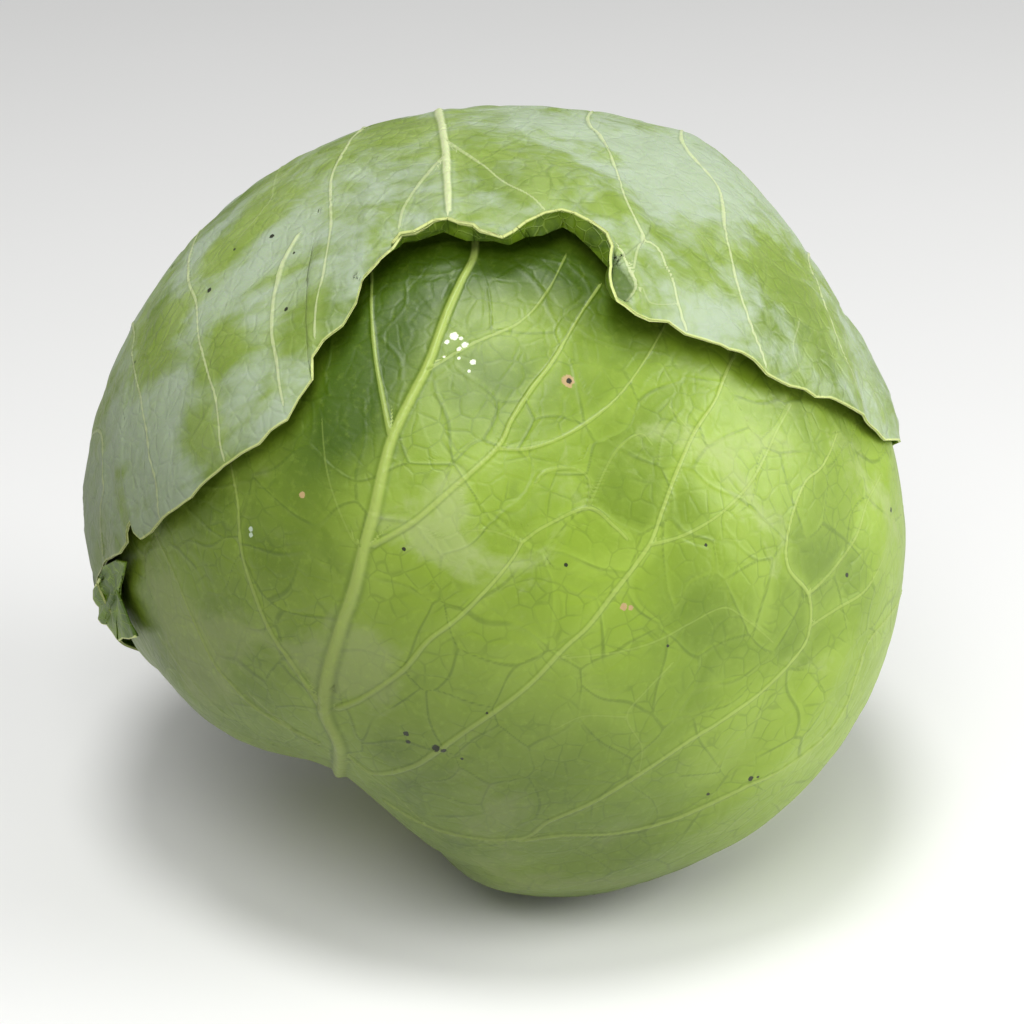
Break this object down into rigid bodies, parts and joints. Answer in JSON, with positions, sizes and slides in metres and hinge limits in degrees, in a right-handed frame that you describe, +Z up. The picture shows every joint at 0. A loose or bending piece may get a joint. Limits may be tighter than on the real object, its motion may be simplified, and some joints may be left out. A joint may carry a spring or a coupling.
{
  "type": "cabbage head",
  "caption": "Round head of green cabbage, leaning on its base, with loose ribbed outer leaves, one folded over the top like a hood with a wavy edge, and a cut stem in the hollow beneath.",
  "frame": {"origin": "on the surface that the head rests on, under the middle of its bounding box", "axes": "+Z up, +X along the longest extent and to the right of the view that shows the hood's edge, -Y towards that view"},
  "size_m": [0.1914, 0.1855, 0.1772],
  "materials": {
    "stem": "matt, cut stem",
    "inner_leaf": "satin, waxy leaf",
    "front_leaf": "satin, waxy leaf",
    "hood_leaf": "matt bloom of wax on the leaf"
  },
  "bodies": {
    "root": {"stem": "stem", "inner_head": "inner_leaf", "leaf_right": "inner_leaf", "leaf_front": "front_leaf", "leaf_hood": "hood_leaf", "leaf_back": "hood_leaf"}
  },
  "joints": []
}
